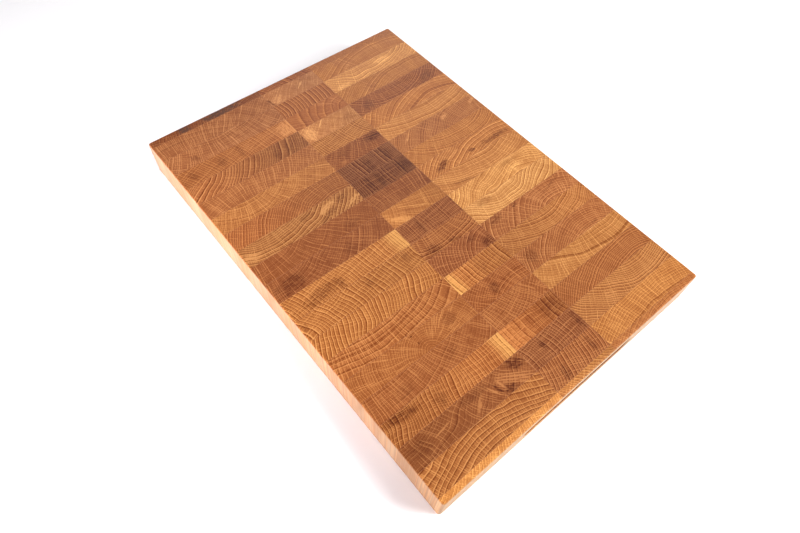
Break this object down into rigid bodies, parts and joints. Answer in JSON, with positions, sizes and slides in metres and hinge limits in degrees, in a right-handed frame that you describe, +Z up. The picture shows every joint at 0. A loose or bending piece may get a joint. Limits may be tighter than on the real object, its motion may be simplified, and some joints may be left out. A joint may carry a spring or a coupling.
{
  "type": "cutting board",
  "caption": "Thick rectangular end-grain oak cutting board, glued up from blocks in rows and strips, with eased edges and a routed finger groove in each end face.",
  "frame": {"origin": "centre of the underside, on the surface that the board lies on", "axes": "+X along the length from the far end to the near end, +Y across the width from the left row to the right row, +Z up"},
  "size_m": [0.5, 0.35, 0.043],
  "materials": {
    "oak_pale": "oiled, satin, pale sapwood",
    "oak_honey": "oiled, satin, honey end grain",
    "oak_amber": "oiled, satin, amber end grain",
    "oak_brown": "oiled, satin, brown end grain",
    "oak_dark": "oiled, satin, dark heartwood",
    "oak_umber": "oiled, satin, darkest heartwood",
    "glue": "dried wood glue, sanded flush"
  },
  "bodies": {
    "root": {"far_end_strip": "oak_dark", "left_block_01": "oak_brown", "left_block_02": "oak_brown", "left_block_03": "oak_brown", "left_block_04": "oak_brown", "left_block_05": "oak_brown", "left_block_06": "oak_amber", "left_block_07": "oak_brown", "left_block_08": "oak_amber", "left_block_09": "oak_dark", "left_block_10": "oak_dark", "left_block_11": "oak_amber", "left_block_12": "oak_amber", "left_block_13": "oak_amber", "left_block_14": "oak_brown", "left_block_15": "oak_brown", "left_block_16": "oak_brown", "left_block_17": "oak_brown", "left_block_18": "oak_dark", "left_block_19": "oak_amber", "middle_block_01": "oak_amber", "middle_block_02": "oak_brown", "middle_block_03": "oak_brown", "middle_block_04": "oak_honey", "middle_block_05": "oak_amber", "middle_block_06": "oak_dark", "middle_block_07": "oak_umber", "middle_block_08": "oak_umber", "middle_block_09": "oak_dark", "middle_block_10": "oak_amber", "middle_block_11": "oak_dark", "middle_block_12": "oak_brown", "middle_block_13": "oak_dark", "middle_block_14": "oak_amber", "middle_block_15": "oak_brown", "middle_block_16": "oak_brown", "middle_block_17": "oak_brown", "middle_block_18": "oak_dark", "middle_block_19": "oak_brown", "right_block_01": "oak_amber", "right_block_02": "oak_pale", "right_block_03": "oak_amber", "right_block_04": "oak_dark", "right_block_05": "oak_amber", "right_block_06": "oak_honey", "right_block_07": "oak_brown", "right_block_08": "oak_amber", "right_block_09": "oak_amber", "right_block_10": "oak_honey", "right_block_11": "oak_pale", "right_block_12": "oak_pale", "right_block_13": "oak_brown", "right_block_14": "oak_amber", "right_block_15": "oak_brown", "right_block_16": "oak_honey", "right_block_17": "oak_brown", "right_block_18": "oak_amber", "right_block_19": "oak_honey", "near_end_strip": "oak_pale", "glue_lattice": "glue"}
  },
  "joints": []
}
